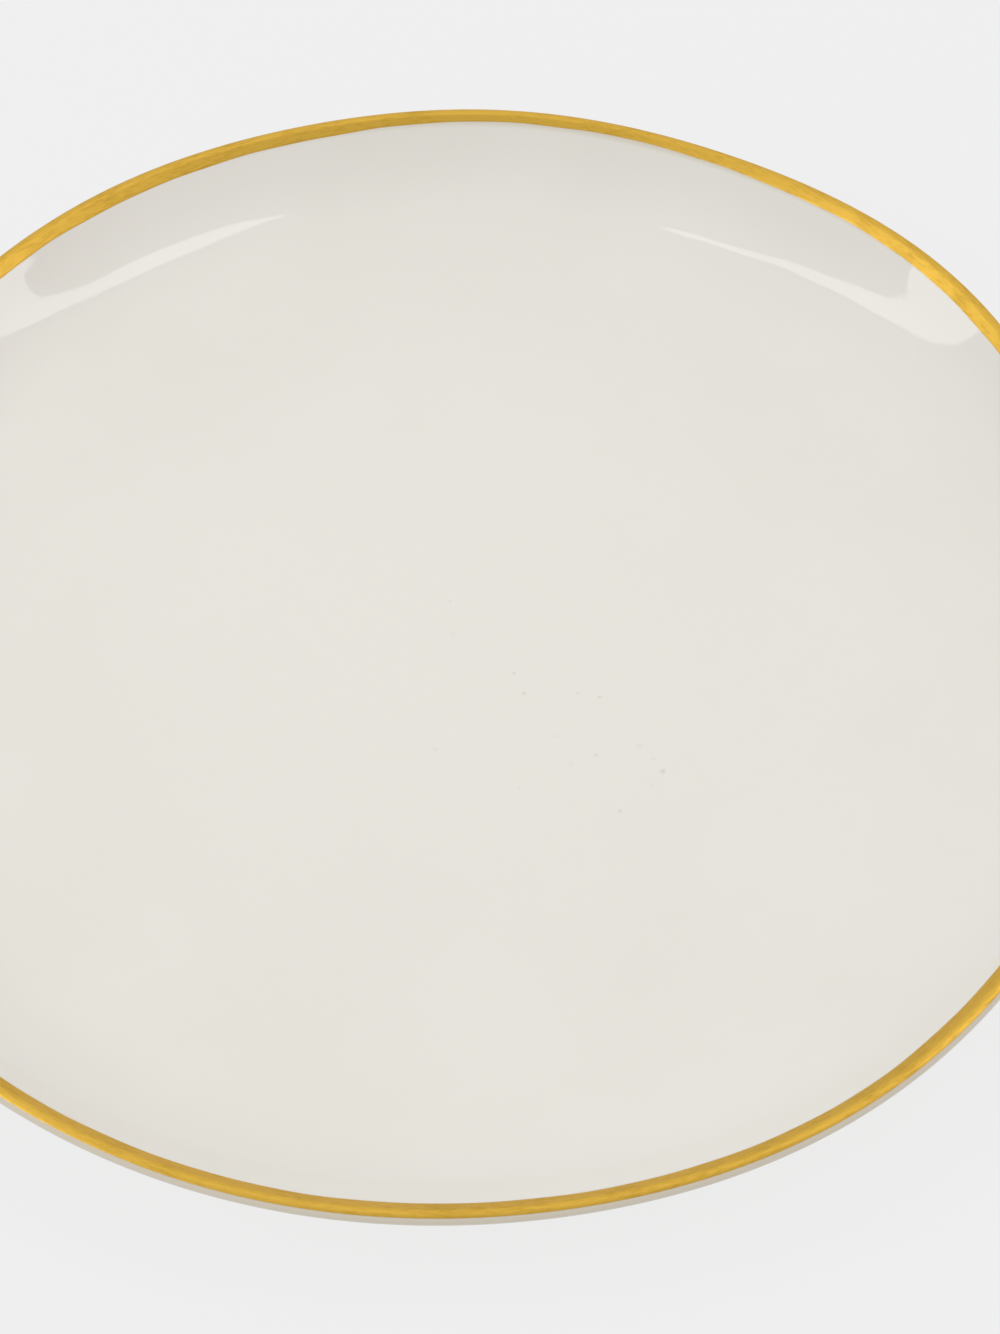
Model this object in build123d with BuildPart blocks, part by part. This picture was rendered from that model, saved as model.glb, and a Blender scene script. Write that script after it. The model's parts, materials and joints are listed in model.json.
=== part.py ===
"""Coupe dinner plate with a gold rim.

One dish of clay stands on a foot ring of clay. Three coats of glaze cover both, all but the bare
foot that touches the table, and a gold band is painted over the glaze on the lip.

Frame: millimetres, +Z up, origin on the table under the middle of the plate.
"""

import os
from math import cos, radians, sin

from build123d import *

# Size of the finished, glazed plate
RIM_RADIUS = 135.0  # of the lip, at its outermost
WELL_LEVEL = 8.0  # flat floor of the well, above the table
UNDER_LEVEL = 3.0  # flat underside, above the table

# Upper face: flat floor, slow rise, tight wall, then a straight run out to the lip
WELL_RADIUS = 66.0  # of the flat floor
RISE_RADIUS = 300.0
RISE_ANGLE = 8.0  # slope where the slow rise ends
WALL_RADIUS = 45.0
LIP_SLOPE = 38.0  # slope of the wall at the lip

# Underside: flat to just past the foot, then the heel. The heel's tight radius follows from the lip
UNDER_RADIUS = 85.0  # of the flat underside
HEEL_RISE_RADIUS = 150.0

# Layers, from the clay outwards
LIP_THICKNESS = 3.0  # clay and both coats of glaze
GLAZE = 0.4
GOLD = 0.2

# Gold band on the lip
GOLD_WIDTH = 4.2  # from the outermost edge inwards, in plan
GOLD_ANGLE = 54.0  # where it ends on the outside of the lip, above level, seen from the lip's centre
PARTING_ANGLE = 75.0  # where the front and back coats meet, under the gold

# Foot ring
FOOT_RADIUS = 80.0  # middle of the ring
FOOT_WIDTH = 3.8  # across the bottom, with its corners
FOOT_ROOT_WIDTH = 6.4  # across the top, where it joins the dish
FOOT_CORNER = 0.7
BARE_FOOT = 1.2  # height that is wiped clean of glaze
POOL_RADIUS = 0.8  # glaze pooled in the corner between foot and dish

CLAY_WELL = WELL_LEVEL - GLAZE
CLAY_UNDER = UNDER_LEVEL + GLAZE
GLAZED_HALF = LIP_THICKNESS / 2
CLAY_HALF = GLAZED_HALF - GLAZE
GOLD_HALF = GLAZED_HALF + GOLD
CREST_ANGLE = 90 + LIP_SLOPE  # where the upper face runs into the lip, seen from the lip's centre
NOSE_ANGLE = LIP_SLOPE - 90  # where the underside does
RISE = radians(RISE_ANGLE)
SLOPE = radians(LIP_SLOPE)


def run_start(flat_radius, level, rise_radius, wall_radius):
    """Where a face's straight run to the lip begins: x and z."""
    x = flat_radius + rise_radius * sin(RISE) + wall_radius * (sin(SLOPE) - sin(RISE))
    z = level + rise_radius * (1 - cos(RISE)) + wall_radius * (cos(RISE) - cos(SLOPE))
    return x, z


def off_slope(point):
    """Distance of a point above a line through the origin with the slope of the wall."""
    x, z = point
    return z * cos(SLOPE) - x * sin(SLOPE)


WALL_LINE = off_slope(run_start(WELL_RADIUS, CLAY_WELL, RISE_RADIUS + GLAZE, WALL_RADIUS + GLAZE))


def heel_radius():
    """The underside's tight radius that leaves the lip at its thickness."""
    at_zero = off_slope(run_start(UNDER_RADIUS, CLAY_UNDER, HEEL_RISE_RADIUS, 0))
    per_radius = off_slope(run_start(UNDER_RADIUS, CLAY_UNDER, HEEL_RISE_RADIUS, 1)) - at_zero
    return (WALL_LINE - 2 * CLAY_HALF - at_zero) / per_radius


HEEL_RADIUS = heel_radius()
LIP_X = RIM_RADIUS - GLAZED_HALF
LIP_Z = (WALL_LINE - CLAY_HALF + LIP_X * sin(SLOPE)) / cos(SLOPE)


def lip_point(half, angle):
    """Point of the rounded lip of the given half thickness."""
    return LIP_X + half * cos(radians(angle)), LIP_Z + half * sin(radians(angle))


def gold_edge(half):
    """Where the gold ends on the wall, this far from the middle of the wall."""
    crest_x, crest_z = lip_point(half, CREST_ANGLE)
    run = (lip_point(GLAZED_HALF, CREST_ANGLE)[0] - (RIM_RADIUS - GOLD_WIDTH)) / cos(SLOPE)
    return crest_x - run * cos(SLOPE), crest_z - run * sin(SLOPE)


def lip_arc(half, start, end):
    """Draws the rounded lip from one angle to another."""
    CenterArc((LIP_X, LIP_Z), half, start, end - start)


def upper_curve(coat):
    """Draws the upper face with the given coat on the clay, from the axis to the lip."""
    floor = Line((0, CLAY_WELL + coat), (WELL_RADIUS, CLAY_WELL + coat))
    rise = JernArc(floor @ 1, floor % 1, RISE_RADIUS + GLAZE - coat, RISE_ANGLE)
    wall = JernArc(rise @ 1, rise % 1, WALL_RADIUS + GLAZE - coat, LIP_SLOPE - RISE_ANGLE)
    Line(wall @ 1, lip_point(CLAY_HALF + coat, CREST_ANGLE))


def lower_curve(coat, start):
    """Draws the underside with the given coat on the clay, from a radius on its flat part to the lip."""
    flat = Line((start, CLAY_UNDER - coat), (UNDER_RADIUS, CLAY_UNDER - coat))
    rise = JernArc(flat @ 1, flat % 1, HEEL_RISE_RADIUS + coat, RISE_ANGLE)
    heel = JernArc(rise @ 1, rise % 1, HEEL_RADIUS + coat, LIP_SLOPE - RISE_ANGLE)
    Line(heel @ 1, lip_point(CLAY_HALF + coat, NOSE_ANGLE))


def foot_flank(side, level):
    """Radius of the foot ring's side, outer for +1 and inner for -1, at a height."""
    half = (FOOT_WIDTH + (FOOT_ROOT_WIDTH - FOOT_WIDTH) * level / CLAY_UNDER) / 2
    return FOOT_RADIUS + side * half


os.makedirs("parts", exist_ok=True)

# The fired clay dish
with BuildPart() as clay_dish:
    with BuildSketch(Plane.XZ):
        with BuildLine():
            upper_curve(0)
            lip_arc(CLAY_HALF, NOSE_ANGLE, CREST_ANGLE)
            lower_curve(0, 0)
            Line((0, CLAY_UNDER), (0, CLAY_WELL))
        make_face()
    revolve(axis=Axis.Z)
clay_dish.part.label = "clay_dish"
export_step(clay_dish.part, "parts/clay_dish.step")

# The ring of clay that the plate stands on
with BuildPart() as foot_ring:
    with BuildSketch(Plane.XZ) as foot_section:
        with BuildLine():
            Polyline(
                (foot_flank(-1, 0), 0),
                (foot_flank(1, 0), 0),
                (foot_flank(1, CLAY_UNDER), CLAY_UNDER),
                (foot_flank(-1, CLAY_UNDER), CLAY_UNDER),
                close=True,
            )
        make_face()
        fillet(foot_section.vertices().group_by(Axis.Y)[0], radius=FOOT_CORNER)
    revolve(axis=Axis.Z)
foot_ring.part.label = "foot_ring"
export_step(foot_ring.part, "parts/foot_ring.step")

# The coat that food lies on, from the middle of the well to the crest of the lip
with BuildPart() as front_glaze:
    with BuildSketch(Plane.XZ):
        with BuildLine():
            upper_curve(GLAZE)
            lip_arc(GLAZED_HALF, PARTING_ANGLE, CREST_ANGLE)
            Line(lip_point(GLAZED_HALF, PARTING_ANGLE), lip_point(CLAY_HALF, PARTING_ANGLE))
            lip_arc(CLAY_HALF, PARTING_ANGLE, CREST_ANGLE)
            upper_curve(0)
            Line((0, CLAY_WELL), (0, WELL_LEVEL))
        make_face()
    revolve(axis=Axis.Z)
front_glaze.part.label = "front_glaze"
export_step(front_glaze.part, "parts/front_glaze.step")

# The coat under the plate, from the lip down to the outside of the foot
with BuildPart() as back_glaze:
    pool = (foot_flank(1, UNDER_LEVEL) + GLAZE, UNDER_LEVEL)
    with BuildSketch(Plane.XZ) as back_section:
        with BuildLine():
            lower_curve(GLAZE, pool[0])
            lip_arc(GLAZED_HALF, NOSE_ANGLE, PARTING_ANGLE)
            Line(lip_point(GLAZED_HALF, PARTING_ANGLE), lip_point(CLAY_HALF, PARTING_ANGLE))
            lip_arc(CLAY_HALF, NOSE_ANGLE, PARTING_ANGLE)
            lower_curve(0, foot_flank(1, CLAY_UNDER))
            Polyline(
                (foot_flank(1, CLAY_UNDER), CLAY_UNDER),
                (foot_flank(1, BARE_FOOT), BARE_FOOT),
                (foot_flank(1, BARE_FOOT) + GLAZE, BARE_FOOT),
                pool,
            )
        make_face()
        fillet(back_section.vertices().sort_by_distance(pool)[0], radius=POOL_RADIUS)
    revolve(axis=Axis.Z)
back_glaze.part.label = "back_glaze"
export_step(back_glaze.part, "parts/back_glaze.step")

# The coat in the recess inside the foot
with BuildPart() as recess_glaze:
    inner_pool = (foot_flank(-1, UNDER_LEVEL) - GLAZE, UNDER_LEVEL)
    with BuildSketch(Plane.XZ) as recess_section:
        with BuildLine():
            Polyline(
                (foot_flank(-1, BARE_FOOT), BARE_FOOT),
                (foot_flank(-1, CLAY_UNDER), CLAY_UNDER),
                (0, CLAY_UNDER),
                (0, UNDER_LEVEL),
                inner_pool,
                (foot_flank(-1, BARE_FOOT) - GLAZE, BARE_FOOT),
                close=True,
            )
        make_face()
        fillet(recess_section.vertices().sort_by_distance(inner_pool)[0], radius=POOL_RADIUS)
    revolve(axis=Axis.Z)
recess_glaze.part.label = "recess_glaze"
export_step(recess_glaze.part, "parts/recess_glaze.step")

# The gold painted on the lip, over the glaze
with BuildPart() as gold_rim_band:
    with BuildSketch(Plane.XZ):
        with BuildLine():
            Polyline(
                lip_point(GLAZED_HALF, CREST_ANGLE),
                gold_edge(GLAZED_HALF),
                gold_edge(GOLD_HALF),
                lip_point(GOLD_HALF, CREST_ANGLE),
            )
            lip_arc(GOLD_HALF, GOLD_ANGLE, CREST_ANGLE)
            Line(lip_point(GOLD_HALF, GOLD_ANGLE), lip_point(GLAZED_HALF, GOLD_ANGLE))
            lip_arc(GLAZED_HALF, GOLD_ANGLE, CREST_ANGLE)
        make_face()
    revolve(axis=Axis.Z)
gold_rim_band.part.label = "gold_rim_band"
export_step(gold_rim_band.part, "parts/gold_rim_band.step")

print(f"heel radius {HEEL_RADIUS:.2f} mm, lip centre at x {LIP_X:.2f} z {LIP_Z:.2f} mm")
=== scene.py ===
"""Coupe dinner plate with a hand-painted gold rim, laid out as an add-on and run as a script."""

import json
from math import atan2, cos, hypot, pi, radians, sin, tan

import bmesh
import bpy
from bpy.props import FloatProperty, FloatVectorProperty, IntProperty, PointerProperty
from bpy.types import Operator, Panel, PropertyGroup
from mathutils import Matrix, Vector


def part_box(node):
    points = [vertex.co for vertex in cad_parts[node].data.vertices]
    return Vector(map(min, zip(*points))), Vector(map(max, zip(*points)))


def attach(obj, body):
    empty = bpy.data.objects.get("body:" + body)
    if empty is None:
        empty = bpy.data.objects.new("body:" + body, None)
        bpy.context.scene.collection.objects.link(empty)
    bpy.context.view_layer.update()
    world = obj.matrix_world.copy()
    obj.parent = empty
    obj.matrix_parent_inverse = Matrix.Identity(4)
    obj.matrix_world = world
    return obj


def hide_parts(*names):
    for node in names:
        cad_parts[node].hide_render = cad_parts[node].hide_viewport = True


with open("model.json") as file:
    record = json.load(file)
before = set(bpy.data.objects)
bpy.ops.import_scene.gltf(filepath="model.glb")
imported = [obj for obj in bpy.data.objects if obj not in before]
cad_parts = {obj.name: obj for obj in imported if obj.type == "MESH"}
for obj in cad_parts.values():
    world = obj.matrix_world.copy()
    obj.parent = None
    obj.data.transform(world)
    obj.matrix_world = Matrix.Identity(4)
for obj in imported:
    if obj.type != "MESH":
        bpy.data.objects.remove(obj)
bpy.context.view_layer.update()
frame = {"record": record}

bl_info = {
    "name": "Gold-rimmed dinner plate",
    "version": (1, 0, 0),
    "blender": (4, 5, 0),
    "location": "3D View > Sidebar > Plate",
    "description": "Builds a coupe dinner plate: clay, foot, coats of glaze and a painted gold band",
    "category": "Add Mesh",
}

MM = 0.001
BODY = "root"

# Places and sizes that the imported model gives
MOUNTS = {mount["name"]: mount for mount in frame["record"]["mounts"]}
WELL_Z = MOUNTS["well_floor"]["pos_m"][2]
FOOT_MIDDLE = MOUNTS["foot_contact"]["pos_m"][0]
FRONT_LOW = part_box("front_glaze")[0]
CLAY_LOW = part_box("clay_dish")[0]
FOOT_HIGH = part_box("foot_ring")[1]
BARE_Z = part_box("recess_glaze")[0][2]
RIM_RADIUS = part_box("back_glaze")[1][0]
GOLD_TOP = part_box("gold_rim_band")[1][2]
COAT = WELL_Z - FRONT_LOW[2]
UNDER_Z = CLAY_LOW[2] - COAT
ROOT_OUTER = FOOT_HIGH[0]
ROOT_INNER = 2 * FOOT_MIDDLE - ROOT_OUTER

# The rim as cut by hand: (waves round the rim, height in mm, direction of a crest in degrees)
RIM_WAVES = ((2, 0.15, 60), (3, 0.55, 80), (4, 0.30, 37), (6, 0.33, 50), (7, 0.20, 38), (8, 0.30, 35))
# How the painter's brush wandered at the band's inner edge, in the same terms
BRUSH_WAVES = (
    (1, 0.10, 76), (2, 0.15, 76), (3, 0.15, 76), (4, 0.12, 76), (5, 0.10, 76),
    (17, 0.05, 5), (31, 0.04, 3), (53, 0.03, 1),
)

# Iron specks under the glaze of the well: (x, y and radius in mm, darkness)
SPECKS = (
    (12.5, -8.8, 0.55, 0.20), (14.4, -13.7, 0.65, 0.16), (29.2, -15.0, 0.55, 0.18),
    (27.9, -28.7, 0.60, 0.15), (40.7, -32.8, 0.80, 0.22), (32.1, -41.7, 0.60, 0.17),
    (0.1, 9.3, 0.55, 0.10), (7.6, 78.9, 0.45, 0.16), (17.0, 99.1, 0.50, 0.12),
    (1.3, 121.3, 0.45, 0.20), (-73.1, 29.0, 0.50, 0.14), (0.6, 1.3, 0.70, 0.06),
    (12.9, -35.9, 0.50, 0.09), (36.5, -26.8, 0.90, 0.08), (39.0, -29.9, 0.70, 0.09),
    (25.0, -14.0, 0.60, 0.09), (-3.1, -26.5, 0.60, 0.09), (20.5, -24.0, 0.80, 0.05),
    (23.0, -30.5, 0.90, 0.05), (38.5, -36.0, 0.50, 0.09),
)

SPECK_CORE = 0.25  # share of its radius over which a speck is darkest
SPECK_STRENGTH = 1.25  # how strongly the darkness of a speck shows

# The two softboxes overhead: their height, and their corners as (x, y), in metres
SOFTBOX_HEIGHT = 1.0
RIGHT_SOFTBOX = (
    (0.094, 0.190), (0.106, 0.240), (0.116, 0.285), (0.152, 0.298), (0.277, 0.258), (0.511, 0.200),
    (2.000, 0.150), (2.000, -0.160), (0.765, -0.160), (0.750, -0.124), (0.760, -0.074), (0.481, 0.106),
    (0.284, 0.186), (0.150, 0.152),
)
LEFT_SOFTBOX = (
    (-0.133, 0.272), (-0.148, 0.252), (-0.225, 0.246), (-0.292, 0.220), (-0.359, 0.207), (-0.560, 0.177),
    (-0.743, 0.106), (-0.904, 0.008), (-0.950, -0.250), (-0.950, -1.200), (-2.000, -1.200), (-2.000, 0.150),
    (-1.000, 0.225), (-0.783, 0.253), (-0.470, 0.283), (-0.299, 0.280), (-0.253, 0.278), (-0.201, 0.291),
    (-0.135, 0.291),
)

SECTORS = 12  # one is spun from the section, the others are its copies
MERGE_SECTION = 0.002 * MM  # points this close are one point in a drawn section
MERGE_PIECE = 0.001 * MM  # points this close are one point in a turned piece
SHARP_EDGE = radians(32)  # an edge that turns more is shaded as sharp
FOOT_EDGE = radians(20)  # an edge at the table that turns more is rounded
TABLE_REACH = 0.01 * MM  # a point of the foot under this height is at the table
LIP_REACH = 4.5 * MM  # near_lip falls to 0 this far from the lip's centre
FILM_ALLOWANCE = 0.2 * MM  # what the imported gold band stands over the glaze
FILM_BOW = 0.7  # share of its height that the gold film has half way up its taper
STREAK_SHARE = 0.6  # how much of the gold's tone is brush streaks; the rest is blots
STREAK_TURN = 0.02  # a small number draws the brush streaks out along the band
STREAK_RISE = 0.6  # how fast the brush streaks change with height

FLOOR_REACH = 3.0  # from the middle of the floor to its sides, in metres
FLOOR_CLOUDS = 0.995  # brightness of the floor's darkest clouds, as a share of its colour
BACK_LIGHT = (0, 0.6, 0.8)  # where the even light is strongest
BACK_SPREAD = (0.2, 1.0)  # nearness to there at which it is weakest and strongest

MIX_COLOURS = slice(6, 8)  # a Mix node's two colour inputs
MIX_RESULT = 2  # a Mix node's colour output
RANGE_ENDS = ("From Min", "From Max", "To Min", "To Max")


class PlateShape(PropertyGroup):
    """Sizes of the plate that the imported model's boxes don't give."""

    lip_half: FloatProperty(
        name="Half lip", description="Half the thickness of the glazed lip", default=1.5 * MM, unit="LENGTH")
    lip_slope: FloatProperty(
        name="Lip slope", description="Slope of the wall at the lip", default=radians(38), subtype="ANGLE")
    well_radius: FloatProperty(
        name="Well radius", description="Radius of the flat floor", default=66 * MM, unit="LENGTH")
    rise_radius: FloatProperty(
        name="Rise radius", description="Radius of the slow rise round the floor",
        default=300 * MM, unit="LENGTH")
    rise_angle: FloatProperty(
        name="Rise angle", description="Slope where the slow rise ends", default=radians(8), subtype="ANGLE")
    wall_radius: FloatProperty(
        name="Wall radius", description="Radius of the tight bend of the wall",
        default=45 * MM, unit="LENGTH")
    under_radius: FloatProperty(
        name="Underside radius", description="Radius of the flat underside", default=85 * MM, unit="LENGTH")
    heel_rise_radius: FloatProperty(
        name="Heel rise radius", description="Radius of the slow rise under the plate", default=150 * MM,
        unit="LENGTH")
    pool_radius: FloatProperty(
        name="Pool radius", description="Glaze pooled in the corners at the foot",
        default=0.8 * MM, unit="LENGTH")
    foot_width: FloatProperty(
        name="Foot width", description="Width of the foot at the table", default=3.8 * MM, unit="LENGTH")
    foot_corner: FloatProperty(
        name="Foot corner", description="Radius of the foot's lower corners", default=0.7 * MM, unit="LENGTH")
    gold_width: FloatProperty(
        name="Gold width", description="Width of the gold band seen from above",
        default=4.0 * MM, unit="LENGTH")
    gold_film: FloatProperty(
        name="Gold film", description="How far the gold stands over the glaze",
        default=0.06 * MM, unit="LENGTH")
    gold_taper: FloatProperty(
        name="Gold taper", description="Over which the gold thins out at its inner edge", default=0.35 * MM,
        unit="LENGTH")
    gold_end: FloatProperty(
        name="Gold end", description="Where the gold ends round the lip, above level", default=radians(54),
        subtype="ANGLE")
    parting: FloatProperty(
        name="Parting", description="Where the two coats meet under the gold, above level",
        default=radians(75), subtype="ANGLE")
    wave_start: FloatProperty(
        name="Wave start", description="Radius where the hand-cut waves set in",
        default=95 * MM, unit="LENGTH")
    wave_full: FloatProperty(
        name="Wave full", description="Radius where the waves are at their height", default=130 * MM,
        unit="LENGTH")
    steps: IntProperty(name="Steps", description="Facets round the plate", default=360)


class GlazeLook(PropertyGroup):
    """Colour and gloss of the glaze."""

    colour: FloatVectorProperty(
        name="Colour", description="Warm white of the glaze", default=(0.793, 0.752, 0.706, 1), size=4,
        subtype="COLOR")
    thin_colour: FloatVectorProperty(
        name="Thin colour", description="Where the glaze lies thinner",
        default=(0.778, 0.737, 0.690, 1), size=4, subtype="COLOR")
    pooled_colour: FloatVectorProperty(
        name="Pooled colour", description="Where the glaze lies thickest, in the middle of the well",
        default=(0.790, 0.755, 0.701, 1), size=4, subtype="COLOR")
    speck_colour: FloatVectorProperty(
        name="Speck colour", description="Iron specks under the glaze", default=(0.40, 0.38, 0.35, 1), size=4,
        subtype="COLOR")
    roughness: FloatProperty(name="Roughness", description="Roughness of the glaze", default=0.035)
    # Darker warm tone at the lip: partly the glaze breaking thin over the edge, partly painted shade under
    # the gold band
    lip_break_and_shade_colour: FloatVectorProperty(
        name="Edge colour", description="Where the glaze runs thin over the lip",
        default=(0.67, 0.595, 0.49, 1), size=4, subtype="COLOR")


class GoldLook(PropertyGroup):
    """Colour and gloss of the gold."""

    colour: FloatVectorProperty(
        name="Colour", description="Fired gold lustre",
        default=(0.71, 0.425, 0.062, 1), size=4, subtype="COLOR")
    worn_colour: FloatVectorProperty(
        name="Worn colour", description="Where the gold lies thick and dull", default=(0.60, 0.355, 0.045, 1),
        size=4, subtype="COLOR")
    roughness: FloatProperty(name="Roughness", description="Mean roughness of the gold", default=0.44)


class ClayLook(PropertyGroup):
    """Colour of the fired clay."""

    colour: FloatVectorProperty(
        name="Colour", description="Fired clay", default=(0.70, 0.62, 0.52, 1), size=4, subtype="COLOR")
    grit_colour: FloatVectorProperty(
        name="Grit colour", description="Grit in the clay", default=(0.50, 0.42, 0.33, 1), size=4,
        subtype="COLOR")


class StageLook(PropertyGroup):
    """Camera, lights and floor."""

    lens: FloatProperty(name="Lens", description="Focal length of the camera in mm", default=85)
    distance: FloatProperty(
        name="Distance", description="From the camera to its aim", default=606.1 * MM, unit="LENGTH")
    elevation: FloatProperty(
        name="Elevation", description="Of the camera over the table", default=radians(54.26), subtype="ANGLE")
    roll: FloatProperty(
        name="Roll", description="Tilt of the camera",
        default=radians(-1.30), subtype="ANGLE")
    aim: FloatVectorProperty(
        name="Aim", description="Where the camera looks", default=(9.8 * MM, -16.2 * MM, 20.5 * MM), size=3,
        subtype="TRANSLATION")
    floor_colour: FloatVectorProperty(
        name="Floor colour", description="Plain pale floor", default=(0.10, 0.10, 0.10, 1), size=4,
        subtype="COLOR")
    floor_glow: FloatProperty(
        name="Floor glow", description="Light that comes through the floor of the light table", default=0.766)
    sky: FloatProperty(name="Sky", description="Strength of the even light from all round", default=0.66)
    back_sky: FloatProperty(
        name="Back sky", description="How much stronger the light is from behind the plate", default=0.33)
    left_tint: FloatVectorProperty(
        name="Left tint", description="Tint of the even light from the left", default=(0.88, 0.955, 0.94, 1),
        size=4, subtype="COLOR")
    right_tint: FloatVectorProperty(
        name="Right tint", description="Tint of the even light from the right",
        default=(1.0, 0.985, 0.965, 1), size=4, subtype="COLOR")
    softbox: FloatProperty(name="Softboxes", description="Strength of the two softboxes", default=3.1)


def shape():
    """The plate's sizes."""
    return bpy.context.scene.plate_shape


def rim_wave(angle, waves=RIM_WAVES):
    """Height of the waves in a direction, in metres."""
    return MM * sum(height * cos(count * (angle - radians(crest))) for count, height, crest in waves)


WAVE_TOP = max(rim_wave(radians(step)) for step in range(360))


class Profile:
    """Draws half of a turned piece's section in the XZ plane, with x along the radius."""

    def __init__(self, mesh, x, z):
        self.mesh = mesh
        self.tip = bmesh.ops.create_vert(mesh, co=(x, 0, z))["vert"][0]

    def line(self, x, z, steps=1):
        """Draws a straight stretch to a point."""
        move = (Vector((x, 0, z)) - self.tip.co) / steps
        for _ in range(steps):
            self.tip = bmesh.ops.extrude_vert_indiv(self.mesh, verts=[self.tip])["verts"][0]
            bmesh.ops.translate(self.mesh, verts=[self.tip], vec=move)

    def arc(self, x, z, turn, steps):
        """Draws an arc round a centre, anticlockwise for a positive turn."""
        spun = bmesh.ops.spin(self.mesh, geom=[self.tip], cent=(x, 0, z), axis=(0, -1, 0), dvec=(0, 0, 0),
                              angle=turn, steps=steps, use_merge=False, use_duplicate=False)
        self.tip = [part for part in spun["geom_last"] if isinstance(part, bmesh.types.BMVert)][0]

    def bend(self, radius, start, end, steps):
        """Draws an arc that curves upwards from one slope to another."""
        x, _, z = self.tip.co
        self.arc(x - radius * sin(start), z + radius * cos(start), end - start, steps)


def lip_centre():
    """Centre of the rounded lip before the waves: x and z."""
    return RIM_RADIUS - shape().lip_half, GOLD_TOP - shape().lip_half - FILM_ALLOWANCE


def lip_point(half, angle):
    """Point of the lip of the given half thickness, at an angle above level."""
    x, z = lip_centre()
    return x + half * cos(angle), z + half * sin(angle)


def crest_angle():
    """Where the upper face runs into the lip."""
    return pi / 2 + shape().lip_slope


def nose_angle():
    """Where the underside runs into the lip."""
    return shape().lip_slope - pi / 2


def heel_radius(coat):
    """The underside's tight radius, for the face with the given coat on the clay."""
    sizes = shape()
    rise, slope = sizes.rise_angle, sizes.lip_slope
    start_x = sizes.under_radius + (sizes.heel_rise_radius + coat) * sin(rise)
    start_z = CLAY_LOW[2] - coat + (sizes.heel_rise_radius + coat) * (1 - cos(rise))
    nose_x, nose_z = lip_point(sizes.lip_half - COAT + coat, nose_angle())
    gap = (nose_z - start_z) * cos(slope) - (nose_x - start_x) * sin(slope)
    return gap / ((cos(rise) - cos(slope)) * cos(slope) - (sin(slope) - sin(rise)) * sin(slope))


def draw_upper(profile, coat):
    """Draws the upper face from the axis to the lip, over the given coat; the tip stands on the axis."""
    sizes = shape()
    profile.line(sizes.well_radius, profile.tip.co.z, steps=10)
    profile.bend(sizes.rise_radius + COAT - coat, 0, sizes.rise_angle, steps=10)
    profile.bend(sizes.wall_radius + COAT - coat, sizes.rise_angle, sizes.lip_slope, steps=18)
    profile.line(*lip_point(sizes.lip_half - COAT + coat, crest_angle()), steps=8)


def draw_lower(profile, coat):
    """Draws the underside from the tip, which stands on its flat part, to the lip."""
    sizes = shape()
    profile.line(sizes.under_radius, profile.tip.co.z, steps=2)
    profile.bend(sizes.heel_rise_radius + coat, 0, sizes.rise_angle, steps=6)
    profile.bend(heel_radius(coat), sizes.rise_angle, sizes.lip_slope, steps=16)
    profile.line(*lip_point(sizes.lip_half - COAT + coat, nose_angle()), steps=6)


def foot_flank(side, z):
    """Radius of the foot's side, outer for +1 and inner for -1, at a height."""
    width = shape().foot_width + (ROOT_OUTER - ROOT_INNER - shape().foot_width) * z / CLAY_LOW[2]
    return FOOT_MIDDLE + side * width / 2


def foot_lean():
    """Angle between the foot's side and upright."""
    return atan2(foot_flank(1, CLAY_LOW[2]) - foot_flank(1, 0), CLAY_LOW[2])


def turn(mesh):
    """Turns the section into a closed piece with its faces outwards: one sector, then its copies."""
    bmesh.ops.remove_doubles(mesh, verts=mesh.verts, dist=MERGE_SECTION)
    axis = {"cent": (0, 0, 0), "axis": (0, 0, 1), "dvec": (0, 0, 0), "use_merge": False}
    sector = 2 * pi / SECTORS
    bmesh.ops.spin(mesh, geom=mesh.verts[:] + mesh.edges[:], angle=sector, steps=shape().steps // SECTORS,
                   use_duplicate=False, **axis)
    bmesh.ops.spin(mesh, geom=mesh.verts[:] + mesh.edges[:] + mesh.faces[:], angle=2 * pi - sector,
                   steps=SECTORS - 1, use_duplicate=True, **axis)
    bmesh.ops.remove_doubles(mesh, verts=mesh.verts, dist=MERGE_PIECE)
    bmesh.ops.recalc_face_normals(mesh, faces=mesh.faces)


def clamped(value):
    """The value, kept between 0 and 1."""
    return min(max(value, 0), 1)


def cut_by_hand(mesh):
    """Gives the rim its waves, along the slope of the wall, so the wall keeps its thickness.

    Each vertex also keeps how near it is to the lip, 1 at the lip's centre and 0 from LIP_REACH on.
    """
    sizes = shape()
    lip_x, lip_z = lip_centre()
    near_lip = mesh.verts.layers.float.new("near_lip")
    for vert in mesh.verts:
        radius = hypot(vert.co.x, vert.co.y)
        vert[near_lip] = max(0, 1 - hypot(radius - lip_x, vert.co.z - lip_z) / LIP_REACH)
        share = clamped((radius - sizes.wave_start) / (sizes.wave_full - sizes.wave_start))
        if share == 0:
            continue
        angle = atan2(vert.co.y, vert.co.x)
        eased = share * share * (3 - 2 * share)
        wave = eased * (rim_wave(angle) - WAVE_TOP)
        vert.co += Vector((cos(angle), sin(angle), tan(sizes.lip_slope))) * wave


def place_mesh(mesh, name, material):
    """Puts a finished mesh in the scene as an object with one material."""
    data = bpy.data.meshes.new(name)
    mesh.to_mesh(data)
    mesh.free()
    data.materials.append(material)
    placed = bpy.data.objects.new(name, data)
    bpy.context.scene.collection.objects.link(placed)
    return placed


def finish_piece(mesh, name, node, material):
    """Shades the piece, rides it on the frame and puts it in the node's place."""
    for edge in mesh.edges:
        edge.smooth = not edge.is_manifold or edge.calc_face_angle() < SHARP_EDGE
    for face in mesh.faces:
        face.smooth = True
    piece = place_mesh(mesh, name, material)
    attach(piece, BODY)
    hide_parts(node)


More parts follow.
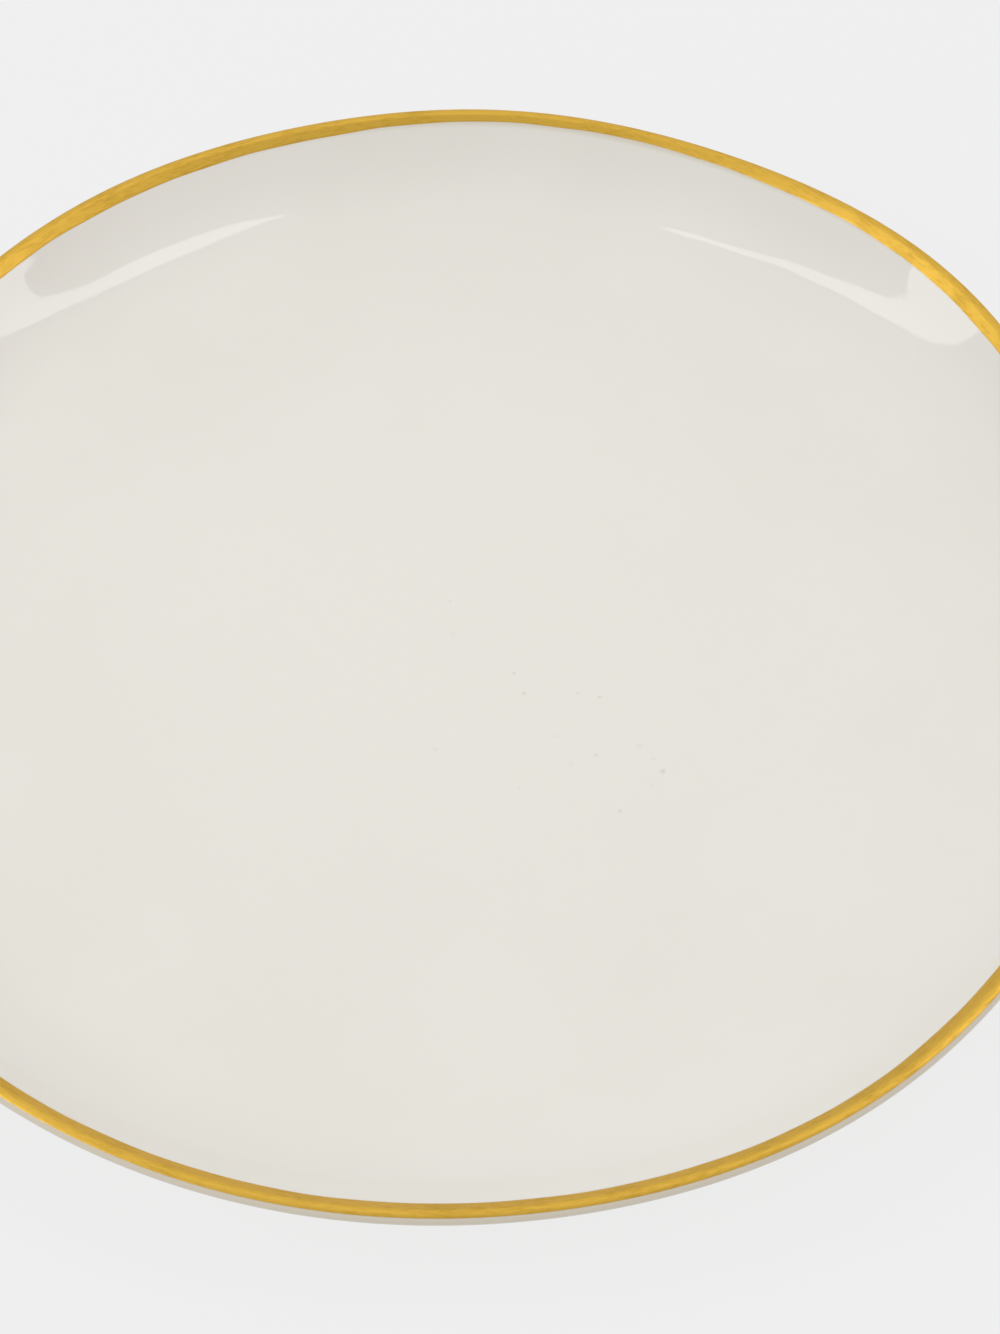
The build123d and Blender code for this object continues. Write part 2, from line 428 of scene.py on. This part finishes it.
class NodeBench:
    """A material and short ways to add and join its nodes."""

    def __init__(self, name):
        self.material = bpy.data.materials.new(name)
        self.material.use_nodes = True
        self.nodes = self.material.node_tree.nodes
        self.links = self.material.node_tree.links
        self.shader = self.nodes["Principled BSDF"]
        self.place = self.nodes.new("ShaderNodeTexCoord").outputs["Object"]

    def join(self, source, target):
        """Links an output to an input."""
        self.links.new(source, target)

    def math(self, operation, first, second=0.0):
        """A calculation on two values, each a number or an output."""
        node = self.nodes.new("ShaderNodeMath")
        node.operation = operation
        for socket, value in zip(node.inputs, (first, second)):
            if isinstance(value, (int, float)):
                socket.default_value = value
            else:
                self.join(value, socket)
        return node.outputs[0]

    def noise(self, scale, detail=2.0, vector=None, roughness=0.5):
        """Soft noise from 0 to 1."""
        node = self.nodes.new("ShaderNodeTexNoise")
        node.inputs["Scale"].default_value = scale
        node.inputs["Detail"].default_value = detail
        node.inputs["Roughness"].default_value = roughness
        self.join(vector or self.place, node.inputs["Vector"])
        return node.outputs["Fac"]

    def ramp(self, value, low, high, start=0.0, end=1.0):
        """Maps a value from low..high to start..end, clamped."""
        node = self.nodes.new("ShaderNodeMapRange")
        node.interpolation_type = "SMOOTHSTEP"
        self.join(value, node.inputs["Value"])
        for socket, number in zip(RANGE_ENDS, (low, high, start, end)):
            node.inputs[socket].default_value = number
        return node.outputs["Result"]

    def mix(self, share, first, second):
        """Mixes two colours, each a colour or an output."""
        node = self.nodes.new("ShaderNodeMix")
        node.data_type = "RGBA"
        self.join(share, node.inputs["Factor"])
        for socket, value in zip(node.inputs[MIX_COLOURS], (first, second)):
            if hasattr(value, "is_linked"):
                self.join(value, socket)
            else:
                socket.default_value = tuple(value)
        return node.outputs[MIX_RESULT]

    def bump(self, height, distance, below=None):
        """Bump of the given height, its distance in metres, over the bump below."""
        node = self.nodes.new("ShaderNodeBump")
        node.inputs["Distance"].default_value = distance
        self.join(height, node.inputs["Height"])
        if below is not None:
            self.join(below, node.inputs["Normal"])
        return node.outputs["Normal"]


def glaze_material():
    """Glossy warm white glaze: faint clouds, a slight ripple, iron specks, pinholes, and a darker lip that is
    part thin glaze, part painted shade.
    """
    if "warm_white_glaze" in bpy.data.materials:
        return bpy.data.materials["warm_white_glaze"]
    look = bpy.context.scene.plate_glaze
    bench = NodeBench("warm_white_glaze")
    clouds = bench.ramp(bench.noise(scale=22, detail=3), low=0.35, high=0.68)
    colour = bench.mix(clouds, look.thin_colour, look.colour)

    middle = bench.nodes.new("ShaderNodeVectorMath")
    middle.operation = "LENGTH"
    bench.join(bench.place, middle.inputs[0])
    pooled = bench.ramp(middle.outputs["Value"], low=10 * MM, high=110 * MM, start=1.0, end=0.0)
    colour = bench.mix(pooled, colour, look.pooled_colour)

    depth = 0.0
    for x, y, radius, darkness in SPECKS:
        reach = bench.nodes.new("ShaderNodeVectorMath")
        reach.operation = "DISTANCE"
        bench.join(bench.place, reach.inputs[0])
        reach.inputs[1].default_value = (x * MM, y * MM, WELL_Z)
        spot = bench.ramp(reach.outputs["Value"], low=SPECK_CORE * radius * MM, high=radius * MM,
                          start=SPECK_STRENGTH * darkness, end=0.0)
        depth = bench.math("ADD", spot, depth)
    colour = bench.mix(depth, colour, look.speck_colour)

    # Painted shade at the lip: the glaze's thin break over the edge, darkened further to stand in for the
    # shade under the gold band
    lip = bench.nodes.new("ShaderNodeAttribute")
    lip.attribute_name = "near_lip"
    lip_break_and_shade = bench.ramp(lip.outputs["Fac"], low=0.30, high=0.62)
    colour = bench.mix(lip_break_and_shade, colour, look.lip_break_and_shade_colour)
    bench.join(colour, bench.shader.inputs["Base Color"])

    ripple = bench.bump(bench.noise(scale=45, detail=1), distance=0.07 * MM)
    peel = bench.bump(bench.noise(scale=330, detail=2), distance=0.008 * MM, below=ripple)
    pinhole = bench.bump(bench.math("SUBTRACT", 1.0, depth), distance=0.10 * MM, below=peel)
    bench.join(pinhole, bench.shader.inputs["Normal"])
    rough = bench.ramp(bench.noise(scale=60, detail=2), low=0.3, high=0.7,
                       start=look.roughness - 0.015, end=look.roughness + 0.015)
    bench.join(rough, bench.shader.inputs["Roughness"])
    bench.shader.inputs["IOR"].default_value = 1.5
    return bench.material


def gold_material():
    """Fired gold: brush streaks along the band, dull blots and bright thin places."""
    look = bpy.context.scene.plate_gold
    bench = NodeBench("fired_gold")
    split = bench.nodes.new("ShaderNodeSeparateXYZ")
    bench.join(bench.place, split.inputs[0])
    across, deep, high = (split.outputs[axis] for axis in "XYZ")
    squares = bench.math("ADD", bench.math("POWER", across, 2.0), bench.math("POWER", deep, 2.0))
    radius = bench.math("SQRT", squares)
    along = bench.nodes.new("ShaderNodeCombineXYZ")
    for part, axis in ((across, "X"), (deep, "Y")):
        direction = bench.math("DIVIDE", part, radius)
        bench.join(bench.math("MULTIPLY", direction, STREAK_TURN), along.inputs[axis])
    bench.join(bench.math("ADD", radius, bench.math("MULTIPLY", high, STREAK_RISE)), along.inputs["Z"])
    streaks = bench.noise(scale=2600, detail=3, vector=along.outputs[0], roughness=0.6)
    blots = bench.noise(scale=95, detail=3)
    tone = bench.math("ADD", bench.math("MULTIPLY", streaks, STREAK_SHARE),
                      bench.math("MULTIPLY", blots, 1 - STREAK_SHARE))

    colour = bench.mix(bench.ramp(tone, low=0.34, high=0.56), look.worn_colour, look.colour)
    bench.join(colour, bench.shader.inputs["Base Color"])
    rough = bench.ramp(tone, low=0.35, high=0.65, start=look.roughness + 0.08, end=look.roughness - 0.04)
    bench.join(rough, bench.shader.inputs["Roughness"])
    uneven = bench.bump(blots, distance=0.015 * MM)
    bench.join(bench.bump(streaks, distance=0.004 * MM, below=uneven), bench.shader.inputs["Normal"])
    bench.shader.inputs["Metallic"].default_value = 0.9
    return bench.material


def clay_material():
    """Bare fired clay: dull, with fine grit."""
    if "fired_clay" in bpy.data.materials:
        return bpy.data.materials["fired_clay"]
    look = bpy.context.scene.plate_clay
    bench = NodeBench("fired_clay")
    grit = bench.ramp(bench.noise(scale=1500, detail=3), low=0.45, high=0.7)
    bench.join(bench.mix(grit, look.colour, look.grit_colour), bench.shader.inputs["Base Color"])
    rough = bench.ramp(bench.noise(scale=800, detail=2), low=0.3, high=0.7, start=0.72, end=0.92)
    bench.join(rough, bench.shader.inputs["Roughness"])
    bench.join(bench.bump(grit, distance=0.03 * MM), bench.shader.inputs["Normal"])
    return bench.material


class PLATE_OT_clay(Operator):
    """Make the clay dish and the clay foot ring."""

    bl_idname = "plate.clay"
    bl_label = "Clay dish and foot"

    def execute(self, context):
        """Turns both pieces."""
        mesh = bmesh.new()
        upper = Profile(mesh, 0, WELL_Z - COAT)
        draw_upper(upper, 0)
        upper.arc(*lip_centre(), nose_angle() - crest_angle(), steps=12)
        lower = Profile(mesh, 0, CLAY_LOW[2])
        lower.line(FOOT_MIDDLE, CLAY_LOW[2], steps=8)
        draw_lower(lower, 0)
        turn(mesh)
        cut_by_hand(mesh)
        finish_piece(mesh, "dish_clay", "clay_dish", clay_material())

        mesh = bmesh.new()
        ring = Profile(mesh, ROOT_INNER, CLAY_LOW[2])
        ring.line(foot_flank(-1, 0), 0, steps=4)
        ring.line(foot_flank(1, 0), 0, steps=4)
        ring.line(ROOT_OUTER, CLAY_LOW[2], steps=4)
        ring.line(ROOT_INNER, CLAY_LOW[2], steps=2)
        turn(mesh)
        rims = [edge for edge in mesh.edges
                if all(vert.co.z < TABLE_REACH for vert in edge.verts) and edge.calc_face_angle() > FOOT_EDGE]
        bmesh.ops.bevel(mesh, geom=rims, offset=shape().foot_corner, offset_type="OFFSET", segments=4,
                        profile=0.5, affect="EDGES", material=-1)
        finish_piece(mesh, "foot_clay", "foot_ring", clay_material())
        return {"FINISHED"}


class PLATE_OT_front_coat(Operator):
    """Make the coat of glaze that food lies on."""

    bl_idname = "plate.front_coat"
    bl_label = "Front coat"

    def execute(self, context):
        """Turns the coat between the glazed face and the clay."""
        sizes = shape()
        mesh = bmesh.new()
        outer = Profile(mesh, 0, WELL_Z)
        draw_upper(outer, COAT)
        outer.arc(*lip_centre(), sizes.parting - crest_angle(), steps=8)
        outer.line(*lip_point(sizes.lip_half - COAT, sizes.parting))
        inner = Profile(mesh, 0, WELL_Z - COAT)
        draw_upper(inner, 0)
        inner.arc(*lip_centre(), sizes.parting - crest_angle(), steps=8)
        turn(mesh)
        cut_by_hand(mesh)
        finish_piece(mesh, "front_coat", "front_glaze", glaze_material())
        return {"FINISHED"}


class PLATE_OT_back_coats(Operator):
    """Make the coats of glaze under the plate, outside the foot and in its recess."""

    bl_idname = "plate.back_coats"
    bl_label = "Back coats"

    def execute(self, context):
        """Turns both coats, each with glaze pooled in the corner at the foot."""
        sizes = shape()
        mesh = bmesh.new()
        flank = self.draw_flank(mesh, 1)
        draw_lower(flank, COAT)
        flank.arc(*lip_centre(), sizes.parting - nose_angle(), steps=12)
        flank.line(*lip_point(sizes.lip_half - COAT, sizes.parting))
        inner = Profile(mesh, foot_flank(1, BARE_Z), BARE_Z)
        inner.line(ROOT_OUTER, CLAY_LOW[2], steps=2)
        draw_lower(inner, 0)
        inner.arc(*lip_centre(), sizes.parting - nose_angle(), steps=12)
        turn(mesh)
        cut_by_hand(mesh)
        finish_piece(mesh, "back_coat", "back_glaze", glaze_material())

        mesh = bmesh.new()
        self.draw_flank(mesh, -1).line(0, UNDER_Z, steps=8)
        inner = Profile(mesh, foot_flank(-1, BARE_Z), BARE_Z)
        inner.line(ROOT_INNER, CLAY_LOW[2], steps=2)
        inner.line(0, CLAY_LOW[2], steps=8)
        turn(mesh)
        finish_piece(mesh, "recess_coat", "recess_glaze", glaze_material())
        return {"FINISHED"}

    def draw_flank(self, mesh, side):
        """Draws the coat on one side of the foot, from the bare line round the pool to the flat underside."""
        radius = shape().pool_radius
        lean = foot_lean()
        centre_x = foot_flank(side, UNDER_Z) + side * (COAT + radius * tan(pi / 4 - lean / 2))
        centre_z = UNDER_Z - radius
        profile = Profile(mesh, foot_flank(side, BARE_Z), BARE_Z)
        profile.line(foot_flank(side, BARE_Z) + side * COAT, BARE_Z)
        profile.line(centre_x - side * radius * cos(lean), centre_z + radius * sin(lean))
        profile.arc(centre_x, centre_z, side * (lean - pi / 2), steps=6)
        return profile


class PLATE_OT_gold_band(Operator):
    """Make the gold band painted on the lip."""

    bl_idname = "plate.gold_band"
    bl_label = "Gold band"

    def execute(self, context):
        """Turns the film and lets its inner edge wander as the brush did."""
        sizes = shape()
        under = sizes.lip_half
        over = under + sizes.gold_film
        crest_x, crest_z = lip_point(under, crest_angle())
        run = crest_x - RIM_RADIUS + sizes.gold_width
        start = Vector((crest_x - run, crest_z - run * tan(sizes.lip_slope)))
        uphill = Vector((cos(sizes.lip_slope), sin(sizes.lip_slope)))
        lift = Vector((-uphill.y, uphill.x)) * sizes.gold_film
        mesh = bmesh.new()
        film = Profile(mesh, *start)
        film.line(*(start + FILM_BOW * lift + 0.5 * uphill * sizes.gold_taper))
        film.line(*(start + lift + uphill * sizes.gold_taper))
        film.line(*lip_point(over, crest_angle()), steps=8)
        film.arc(*lip_centre(), sizes.gold_end - crest_angle(), steps=10)
        film.line(*lip_point(under, sizes.gold_end))
        film.arc(*lip_centre(), crest_angle() - sizes.gold_end, steps=10)
        film.line(*start, steps=8)
        turn(mesh)
        for vert in mesh.verts:
            radius = hypot(vert.co.x, vert.co.y)
            share = clamped((crest_x - radius) / (crest_x - start.x))
            angle = atan2(vert.co.y, vert.co.x)
            wander = share * rim_wave(angle, BRUSH_WAVES)
            vert.co += Vector((cos(angle), sin(angle), tan(sizes.lip_slope))) * wander
        cut_by_hand(mesh)
        finish_piece(mesh, "gold_band", "gold_rim_band", gold_material())
        return {"FINISHED"}


class PLATE_OT_stage(Operator):
    """Set the floor, the lights and the camera."""

    bl_idname = "plate.stage"
    bl_label = "Stage"

    def execute(self, context):
        """Makes each part of the stage."""
        look = context.scene.plate_stage
        self.add_floor(look)
        self.add_world(look)
        self.add_softbox("softbox_right", RIGHT_SOFTBOX, look.softbox)
        self.add_softbox("softbox_left", LEFT_SOFTBOX, look.softbox)
        self.add_camera(look)
        context.scene.view_settings.view_transform = "Standard"
        return {"FINISHED"}

    def add_floor(self, look):
        """A plain pale floor that glows like a light table."""
        mesh = bmesh.new()
        bmesh.ops.create_grid(mesh, x_segments=8, y_segments=8, size=FLOOR_REACH)
        bench = NodeBench("pale_floor")
        clouds = bench.ramp(bench.noise(scale=3, detail=2), low=0.3, high=0.7)
        pale = Vector(look.floor_colour)
        bench.join(bench.mix(clouds, pale * FLOOR_CLOUDS, pale), bench.shader.inputs["Base Color"])
        bench.shader.inputs["Roughness"].default_value = 0.9
        bench.shader.inputs["Specular IOR Level"].default_value = 0
        bench.shader.inputs["Emission Color"].default_value = (1, 1, 1, 1)
        bench.shader.inputs["Emission Strength"].default_value = look.floor_glow
        floor = place_mesh(mesh, "floor", bench.material)

    def add_world(self, look):
        """Even light from all round, stronger from behind the plate and tinted from left to right."""
        world = bpy.data.worlds.new("studio")
        world.use_nodes = True
        nodes, links = world.node_tree.nodes, world.node_tree.links
        direction = nodes.new("ShaderNodeTexCoord").outputs["Generated"]
        towards = nodes.new("ShaderNodeVectorMath")
        towards.operation = "DOT_PRODUCT"
        links.new(direction, towards.inputs[0])
        towards.inputs[1].default_value = BACK_LIGHT
        strength = nodes.new("ShaderNodeMapRange")
        strength.interpolation_type = "SMOOTHSTEP"
        links.new(towards.outputs["Value"], strength.inputs["Value"])
        for socket, number in zip(RANGE_ENDS, (*BACK_SPREAD, look.sky, look.sky + look.back_sky)):
            strength.inputs[socket].default_value = number

        across = nodes.new("ShaderNodeSeparateXYZ")
        links.new(direction, across.inputs[0])
        side = nodes.new("ShaderNodeMapRange")
        links.new(across.outputs["X"], side.inputs["Value"])
        side.inputs["From Min"].default_value = -1
        tint = nodes.new("ShaderNodeMix")
        tint.data_type = "RGBA"
        links.new(side.outputs["Result"], tint.inputs["Factor"])
        for socket, colour in zip(tint.inputs[MIX_COLOURS], (look.left_tint, look.right_tint)):
            socket.default_value = colour
        background = nodes["Background"]
        links.new(tint.outputs[MIX_RESULT], background.inputs["Color"])
        links.new(strength.outputs["Result"], background.inputs["Strength"])
        bpy.context.scene.world = world

    def add_softbox(self, name, corners, strength):
        """A flat softbox overhead, with the given corners."""
        mesh = bmesh.new()
        rim = [bmesh.ops.create_vert(mesh, co=(x, y, SOFTBOX_HEIGHT))["vert"][0] for x, y in corners]
        sides = [mesh.edges.new((first, second)) for first, second in zip(rim, rim[1:] + rim[:1])]
        bmesh.ops.triangle_fill(mesh, edges=sides, use_beauty=True)
        bench = NodeBench(name)
        bench.shader.inputs["Base Color"].default_value = (0, 0, 0, 1)
        bench.shader.inputs["Specular IOR Level"].default_value = 0
        bench.shader.inputs["Emission Color"].default_value = (1, 1, 1, 1)
        bench.shader.inputs["Emission Strength"].default_value = strength
        box = place_mesh(mesh, name, bench.material)

    def add_camera(self, look):
        """The camera, tilted by its roll."""
        aim = Vector(look.aim)
        back = Vector((0, -cos(look.elevation), sin(look.elevation)))
        level = Vector((1, 0, 0))
        upright = Vector((0, sin(look.elevation), cos(look.elevation)))
        right = level * cos(look.roll) + upright * sin(look.roll)
        up = upright * cos(look.roll) - level * sin(look.roll)
        lens = bpy.data.cameras.new("camera")
        lens.lens = look.lens
        lens.dof.use_dof = False
        camera = bpy.data.objects.new("camera", lens)
        axes = Matrix((right, up, back)).transposed().to_4x4()
        camera.matrix_world = Matrix.Translation(aim + back * look.distance) @ axes
        bpy.context.scene.collection.objects.link(camera)
        bpy.context.scene.camera = camera


STEPS = (PLATE_OT_clay, PLATE_OT_front_coat, PLATE_OT_back_coats, PLATE_OT_gold_band, PLATE_OT_stage)


class PLATE_PT_panel(Panel):
    """Lists the plate's pieces in the sidebar."""

    bl_idname = "PLATE_PT_panel"
    bl_label = "Dinner plate"
    bl_space_type = "VIEW_3D"
    bl_region_type = "UI"
    bl_category = "Plate"

    def draw(self, context):
        """One button for each operator."""
        for step in STEPS:
            self.layout.operator(step.bl_idname)


GROUPS = {
    "plate_shape": PlateShape,
    "plate_glaze": GlazeLook,
    "plate_gold": GoldLook,
    "plate_clay": ClayLook,
    "plate_stage": StageLook,
}


def register():
    """Registers every class and hangs the property groups on the scene."""
    for cls in (*GROUPS.values(), *STEPS, PLATE_PT_panel):
        bpy.utils.register_class(cls)
    for name, group in GROUPS.items():
        setattr(bpy.types.Scene, name, PointerProperty(type=group))


def unregister():
    """Takes everything back out."""
    for name in GROUPS:
        delattr(bpy.types.Scene, name)
    for cls in reversed((*GROUPS.values(), *STEPS, PLATE_PT_panel)):
        bpy.utils.unregister_class(cls)


def main():
    """Builds the plate and its stage."""
    register()
    bpy.ops.plate.clay()
    bpy.ops.plate.front_coat()
    bpy.ops.plate.back_coats()
    bpy.ops.plate.gold_band()
    bpy.ops.plate.stage()


if __name__ == "__main__":
    main()
